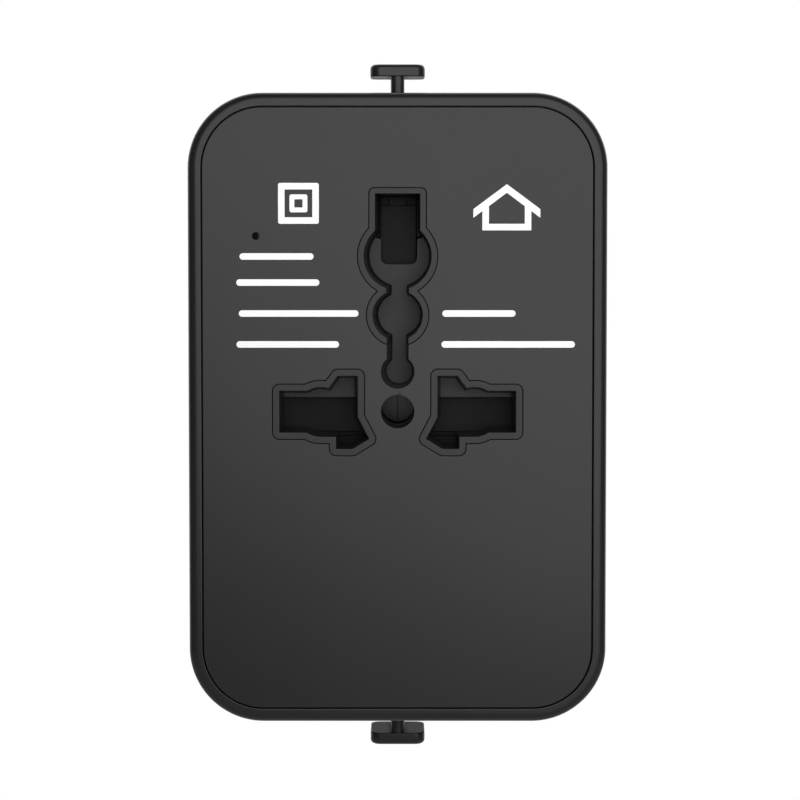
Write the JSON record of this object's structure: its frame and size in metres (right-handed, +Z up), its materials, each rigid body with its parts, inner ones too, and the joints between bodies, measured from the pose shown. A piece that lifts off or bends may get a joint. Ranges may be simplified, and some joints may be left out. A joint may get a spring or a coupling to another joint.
{
  "type": "universal travel adapter",
  "caption": "Hand-sized mains travel adapter: a multi-standard socket in the front face, and sliding pin sets that come out of the rear face for foreign outlets.",
  "frame": {"origin": "centre of the rear face, which meets the wall outlet's plate in use", "axes": "+Y out of the rear face, the way the pins slide out; +Z up along the body's long side, the earth side of the socket; +X to the right of someone who looks at the socket face"},
  "size_m": [0.0516, 0.055, 0.0852],
  "materials": {
    "shell_plastic": "fine satin moulding",
    "face_plastic": "fine satin moulding",
    "inner_plastic": "plain moulding",
    "plated_pin": "nickel plated",
    "contact_brass": "stamped",
    "steel": "zinc plated",
    "circuit_board": "solder resist",
    "varistor_coating": "dipped epoxy",
    "fuse_ceramic": "glazed ceramic",
    "led_lens": "clear tinted",
    "light_pipe": "clear",
    "wire_brown": "insulation",
    "wire_blue": "insulation"
  },
  "bodies": {
    "housing": {"main_shell": "shell_plastic", "rear_cover": "shell_plastic", "face_plate": "face_plastic", "socket_core": "face_plastic", "contact_block": "face_plastic", "live_contact": "contact_brass", "neutral_contact": "contact_brass", "earth_contact": "contact_brass", "live_busbar": "contact_brass", "neutral_busbar": "contact_brass", "earth_busbar": "contact_brass", "divider_plate": "inner_plastic", "surge_board": "circuit_board", "varistor_live_neutral": "varistor_coating", "varistor_live_earth": "varistor_coating", "varistor_neutral_earth": "varistor_coating", "fuse": "fuse_ceramic", "fuse_clip_left": "contact_brass", "fuse_clip_right": "contact_brass", "thermal_cutoff": "steel", "led_board": "circuit_board", "power_led": "led_lens", "led_light_pipe": "light_pipe", "led_lead_live": "wire_brown", "led_lead_neutral": "wire_blue", "case_screw_1": "steel", "case_screw_2": "steel", "case_screw_3": "steel", "case_screw_4": "steel"},
    "shutter": {"safety_shutter": "inner_plastic", "shutter_spring_left": "steel", "shutter_spring_right": "steel"},
    "earth_flap": {"earth_flap": "inner_plastic"},
    "uk_pins": {"uk_carriage": "inner_plastic", "uk_live_pin": "plated_pin", "uk_neutral_pin": "plated_pin", "uk_earth_pin": "plated_pin"},
    "uk_knob": {"uk_knob": "shell_plastic", "uk_knob_spring": "steel"},
    "eu_pins": {"eu_carriage": "inner_plastic", "eu_live_pin": "plated_pin", "eu_neutral_pin": "plated_pin"},
    "eu_knob": {"eu_knob": "shell_plastic", "eu_knob_spring": "steel"},
    "us_pins": {"us_carriage": "inner_plastic", "us_slider_button": "shell_plastic"},
    "us_live_blade": {"us_live_rotor": "inner_plastic", "us_live_blade": "plated_pin"},
    "us_neutral_blade": {"us_neutral_rotor": "inner_plastic", "us_neutral_blade": "plated_pin"}
  },
  "joints": [
    {"name": "uk_slide", "type": "slide", "parent": "housing", "child": "uk_pins", "axis": [0, 1, 0], "range_m": [0, 0.0231]},
    {"name": "uk_knob_press", "type": "slide", "parent": "uk_pins", "child": "uk_knob", "axis": [0, 0, -1], "range_m": [0, 0.0015], "stiffness_N_per_m": 400, "springref_m": -0.003, "deforming": ["uk_knob_spring"]},
    {"name": "eu_slide", "type": "slide", "parent": "housing", "child": "eu_pins", "axis": [0, 1, 0], "range_m": [0, 0.0195]},
    {"name": "eu_knob_press", "type": "slide", "parent": "eu_pins", "child": "eu_knob", "axis": [0, 0, 1], "range_m": [0, 0.0015], "stiffness_N_per_m": 400, "springref_m": -0.003, "deforming": ["eu_knob_spring"]},
    {"name": "us_slide", "type": "slide", "parent": "housing", "child": "us_pins", "axis": [0, 1, 0], "range_m": [0, 0.018]},
    {"name": "us_live_turn", "type": "hinge", "parent": "us_pins", "child": "us_live_blade", "pos_m": [0.00635, -0.0256, 0.0097], "axis": [0, 1, 0], "range_deg": [0, 30]},
    {"name": "us_neutral_turn", "type": "hinge", "parent": "us_pins", "child": "us_neutral_blade", "pos_m": [-0.00635, -0.0256, 0.0097], "axis": [0, -1, 0], "range_deg": [0, 30]},
    {"name": "shutter_slide", "type": "slide", "parent": "housing", "child": "shutter", "axis": [0, 0, -1], "range_m": [0, 0.0096], "stiffness_N_per_m": 60, "springref_m": -0.004, "deforming": ["shutter_spring_left", "shutter_spring_right"]},
    {"name": "earth_flap_turn", "type": "hinge", "parent": "housing", "child": "earth_flap", "pos_m": [0, -0.0489, 0.0267], "axis": [1, 0, 0], "range_deg": [0, 90], "stiffness_Nm_per_rad": 0.002, "springref_deg": -17.19}
  ]
}
